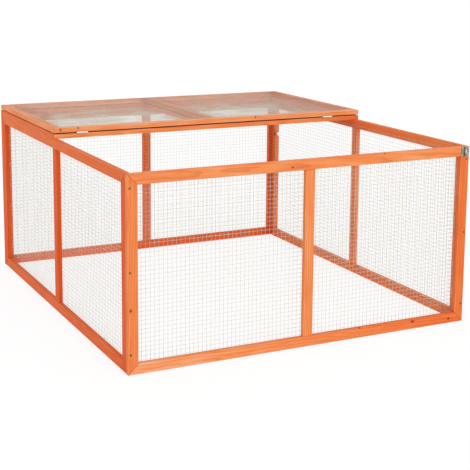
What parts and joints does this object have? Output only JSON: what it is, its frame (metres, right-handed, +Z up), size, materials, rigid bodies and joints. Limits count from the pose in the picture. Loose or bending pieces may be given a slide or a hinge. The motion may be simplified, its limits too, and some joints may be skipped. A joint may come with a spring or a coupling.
{
  "type": "outdoor rabbit run",
  "caption": "Timber-framed outdoor rabbit run with welded mesh walls, a fixed mesh roof over the rear half and a hinged mesh lid that folds back onto it.",
  "frame": {"origin": "on the ground, at the middle of the whole outline as it stands with the lid folded back", "axes": "+X to the right along the front, +Y from the front to the back, +Z up"},
  "size_m": [1.1, 1.2516, 0.5826],
  "materials": {
    "stained_fir": "orange stained, planed fir battens",
    "welded_mesh": "galvanised welded wire",
    "zinc_plate": "bright zinc plated pressed steel",
    "frame_screw": "yellow passivated steel screws"
  },
  "bodies": {
    "run": {"front_bottom_rail": "stained_fir", "front_top_rail": "stained_fir", "front_left_stile": "stained_fir", "front_mid_stile": "stained_fir", "front_right_stile": "stained_fir", "front_left_mesh": "welded_mesh", "front_right_mesh": "welded_mesh", "right_bottom_rail": "stained_fir", "right_top_rail": "stained_fir", "right_front_stile": "stained_fir", "right_mid_stile": "stained_fir", "right_rear_stile": "stained_fir", "right_front_mesh": "welded_mesh", "right_rear_mesh": "welded_mesh", "back_bottom_rail": "stained_fir", "back_top_rail": "stained_fir", "back_left_stile": "stained_fir", "back_mid_stile": "stained_fir", "back_right_stile": "stained_fir", "back_left_mesh": "welded_mesh", "back_right_mesh": "welded_mesh", "left_bottom_rail": "stained_fir", "left_top_rail": "stained_fir", "left_front_stile": "stained_fir", "left_mid_stile": "stained_fir", "left_rear_stile": "stained_fir", "left_front_mesh": "welded_mesh", "left_rear_mesh": "welded_mesh", "roof_front_rail": "stained_fir", "roof_rear_rail": "stained_fir", "roof_left_rail": "stained_fir", "roof_mid_rail": "stained_fir", "roof_right_rail": "stained_fir", "roof_left_mesh": "welded_mesh", "roof_right_mesh": "welded_mesh", "left_hinge_roof_leaf": "zinc_plate", "left_hinge_pin": "zinc_plate", "right_hinge_roof_leaf": "zinc_plate", "right_hinge_pin": "zinc_plate", "hinge_roof_screws": "zinc_plate", "bolt_backplate": "zinc_plate", "bolt_screws": "zinc_plate", "front_corner_screws": "frame_screw", "back_corner_screws": "frame_screw", "roof_screws": "frame_screw", "run_staples": "zinc_plate"},
    "lid": {"lid_free_rail": "stained_fir", "lid_hinge_rail": "stained_fir", "lid_left_rail": "stained_fir", "lid_mid_rail": "stained_fir", "lid_right_rail": "stained_fir", "lid_left_mesh": "welded_mesh", "lid_right_mesh": "welded_mesh", "left_hinge_lid_leaf": "zinc_plate", "right_hinge_lid_leaf": "zinc_plate", "hinge_lid_screws": "zinc_plate", "bolt_keeper": "zinc_plate", "keeper_screws": "zinc_plate", "lid_staples": "zinc_plate"},
    "bolt": {"sliding_bolt": "zinc_plate"}
  },
  "joints": [
    {"name": "lid_hinge", "type": "hinge", "parent": "run", "child": "lid", "pos_m": [0, 0.00155, 0.56365], "axis": [1, 0, 0], "range_deg": [0, 180]},
    {"name": "bolt_slide", "type": "slide", "parent": "run", "child": "bolt", "axis": [0, 0, 1], "range_m": [0, 0.01]}
  ]
}
